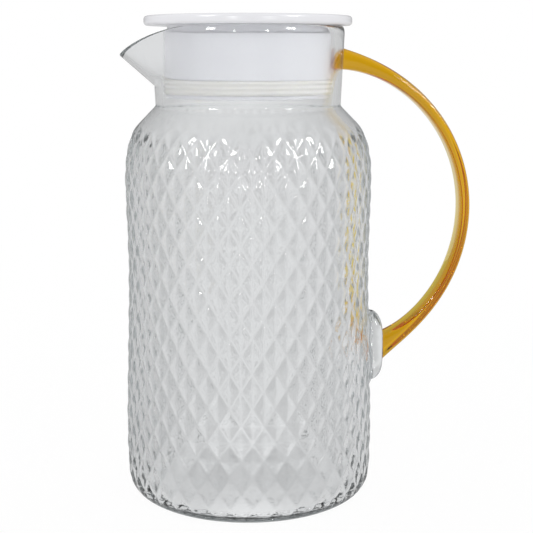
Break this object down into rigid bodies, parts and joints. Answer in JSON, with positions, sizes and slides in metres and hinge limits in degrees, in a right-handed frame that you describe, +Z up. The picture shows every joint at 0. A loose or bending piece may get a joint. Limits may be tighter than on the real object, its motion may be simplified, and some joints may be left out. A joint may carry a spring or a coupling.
{
  "type": "water jug with lid",
  "caption": "Clear acrylic jug with an all-over diamond-cut barrel, smooth neck with a pouring spout, amber loop handle and a white plug lid with a silicone seal.",
  "frame": {"origin": "on the jug's axis, in the plane of the base that it stands on", "axes": "+Z up along the jug's axis, +X out through the handle, the spout on -X"},
  "size_m": [0.1768, 0.1278, 0.243],
  "materials": {
    "clear_acrylic": "clear, polished",
    "amber_acrylic": "clear amber tint, polished",
    "white_plastic": "satin moulded",
    "silicone": "translucent silicone"
  },
  "bodies": {
    "jug": {"jug_body": "clear_acrylic", "base_plate": "clear_acrylic", "handle": "amber_acrylic"},
    "seal": {"seal_ring": "silicone"},
    "lid": {"lid": "white_plastic"}
  },
  "joints": [
    {"name": "lid_lift", "type": "slide", "parent": "jug", "child": "seal", "axis": [0, 0, 1], "range_m": [0, 0.12]},
    {"name": "lid_turn", "type": "hinge", "parent": "seal", "child": "lid", "pos_m": [0, 0, 0.2376], "axis": [0, 0, 1], "continuous": true}
  ]
}
